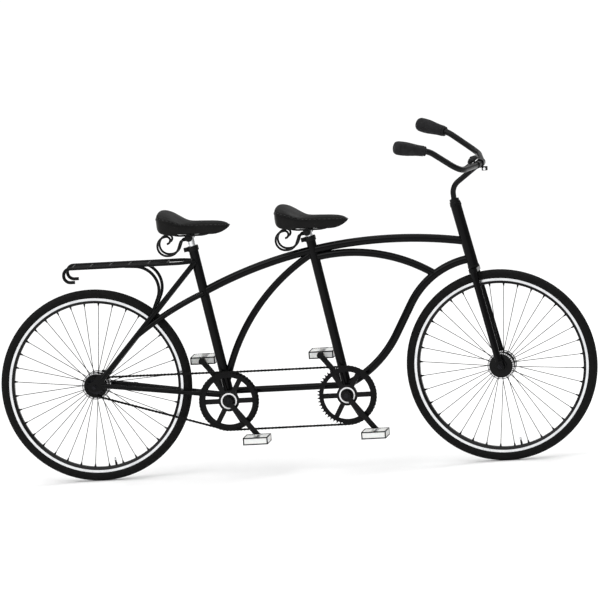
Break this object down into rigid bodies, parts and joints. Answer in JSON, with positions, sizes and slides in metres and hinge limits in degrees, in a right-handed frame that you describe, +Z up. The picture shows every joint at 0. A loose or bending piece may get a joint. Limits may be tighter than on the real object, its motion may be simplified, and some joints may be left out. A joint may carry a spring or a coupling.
{
  "type": "tandem bicycle",
  "caption": "Tandem bicycle with a curved cruiser frame, rear carrier, swept handlebar, sprung saddles and linked cranksets.",
  "frame": {"origin": "on the ground midway between the two wheels", "axes": "+X forwards, +Y to the rider's left, +Z up"},
  "size_m": [2.1757, 0.6546, 1.2167],
  "materials": {
    "frame_paint": "gloss black enamel",
    "black_steel": "satin black",
    "tyre": "matt",
    "rim": "polished sidewall, black spoke bed",
    "spoke": "dark stainless",
    "chrome": "mirror",
    "chain": "oiled dark steel",
    "ring": "gloss black",
    "pedal": "white blocks, black edges",
    "grip": "matt",
    "saddle": "smooth black leather",
    "bell": "black chrome"
  },
  "bodies": {
    "frame": {"arch_stays": "frame_paint", "bottom_bracket_cups": "black_steel", "bottom_bracket_shells": "frame_paint", "brace_tube": "frame_paint", "brake_arm": "black_steel", "chain_stays": "frame_paint", "down_tube": "frame_paint", "drive_chain": "chain", "front_seat_tube": "frame_paint", "front_top_tube": "frame_paint", "head_tube": "frame_paint", "headset_cups": "black_steel", "keel_tube": "frame_paint", "lower_arch_tube": "frame_paint", "rack_platform": "frame_paint", "rack_struts": "frame_paint", "rear_axle": "chrome", "rear_dropouts": "frame_paint", "rear_seat_tube": "frame_paint", "rear_top_tube": "frame_paint", "seat_collars": "black_steel", "seat_stays": "frame_paint", "timing_chain": "chain"},
    "steering": {"fork": "frame_paint", "headset_locknut": "black_steel", "stem": "black_steel", "stem_bolt": "chrome", "handlebar": "black_steel", "left_grip": "grip", "right_grip": "grip", "front_axle": "chrome", "bell_base": "bell", "bell_dome": "bell"},
    "bell_thumb_lever": {"bell_lever": "bell"},
    "front_wheel": {"front_tyre": "tyre", "front_rim": "rim", "front_spokes": "spoke", "front_hub": "black_steel"},
    "rear_wheel": {"rear_tyre": "tyre", "rear_rim": "rim", "rear_spokes": "spoke", "rear_hub": "black_steel"},
    "rear_driver": {"rear_sprocket": "black_steel"},
    "rear_crankset": {"rear_chainwheels": "ring", "rear_crank_arms": "black_steel", "rear_spindle": "chrome"},
    "front_crankset": {"front_chainwheel": "ring", "front_crank_arms": "black_steel", "front_spindle": "chrome"},
    "rear_saddle_post": {"rear_seat_post": "chrome", "rear_saddle_frame": "black_steel", "rear_saddle": "saddle"},
    "rear_right_pedal_body": {"rear_right_pedal": "pedal"},
    "rear_left_pedal_body": {"rear_left_pedal": "pedal"},
    "front_saddle_post": {"front_seat_post": "chrome", "front_saddle_frame": "black_steel", "front_saddle": "saddle"},
    "front_right_pedal_body": {"front_right_pedal": "pedal"},
    "front_left_pedal_body": {"front_left_pedal": "pedal"}
  },
  "joints": [
    {"name": "steer", "type": "hinge", "parent": "frame", "child": "steering", "pos_m": [0.63775, 0, 0.81698], "axis": [-0.213, 0, 0.977], "range_deg": [-75, 75]},
    {"name": "bell_lever_press", "type": "hinge", "parent": "steering", "child": "bell_thumb_lever", "pos_m": [0.69433, -0.0905, 1.10465], "axis": [-0.5736, 0, 0.8192], "range_deg": [0, 25], "stiffness_Nm_per_rad": 0.02},
    {"name": "front_wheel_spin", "type": "hinge", "parent": "steering", "child": "front_wheel", "pos_m": [0.74, 0, 0.348], "axis": [0, 1, 0], "continuous": true},
    {"name": "rear_wheel_spin", "type": "hinge", "parent": "frame", "child": "rear_wheel", "pos_m": [-0.74, 0, 0.348], "axis": [0, 1, 0], "continuous": true},
    {"name": "rear_crank_spin", "type": "hinge", "parent": "frame", "child": "rear_crankset", "pos_m": [-0.25605, 0, 0.272], "axis": [0, 1, 0], "continuous": true, "deforming": ["drive_chain", "timing_chain"]},
    {"name": "front_crank_spin", "type": "hinge", "parent": "frame", "child": "front_crankset", "pos_m": [0.17575, 0, 0.272], "axis": [0, 1, 0], "continuous": true, "deforming": ["timing_chain"]},
    {"name": "sprocket_spin", "type": "hinge", "parent": "frame", "child": "rear_driver", "pos_m": [-0.74, 0, 0.348], "axis": [0, 1, 0], "continuous": true, "deforming": ["drive_chain"]},
    {"name": "rear_right_pedal_spin", "type": "hinge", "parent": "rear_crankset", "child": "rear_right_pedal_body", "pos_m": [-0.15138, -0.12, 0.13804], "axis": [0, 1, 0], "continuous": true},
    {"name": "rear_left_pedal_spin", "type": "hinge", "parent": "rear_crankset", "child": "rear_left_pedal_body", "pos_m": [-0.36071, 0.12, 0.40596], "axis": [0, 1, 0], "continuous": true},
    {"name": "rear_saddle_height", "type": "slide", "parent": "frame", "child": "rear_saddle_post", "axis": [-0.1771, 0, 0.9842], "range_m": [-0.008, 0.1]},
    {"name": "front_right_pedal_spin", "type": "hinge", "parent": "front_crankset", "child": "front_right_pedal_body", "pos_m": [0.28042, -0.12, 0.13804], "axis": [0, 1, 0], "continuous": true},
    {"name": "front_left_pedal_spin", "type": "hinge", "parent": "front_crankset", "child": "front_left_pedal_body", "pos_m": [0.07109, 0.12, 0.40596], "axis": [0, 1, 0], "continuous": true},
    {"name": "front_saddle_height", "type": "slide", "parent": "frame", "child": "front_saddle_post", "axis": [-0.1771, 0, 0.9842], "range_m": [0, 0.1]}
  ],
  "couplings": [
    {"joint": "front_crank_spin", "follows": "rear_crank_spin", "ratio": 1},
    {"joint": "sprocket_spin", "follows": "rear_crank_spin", "ratio": 3.25}
  ]
}
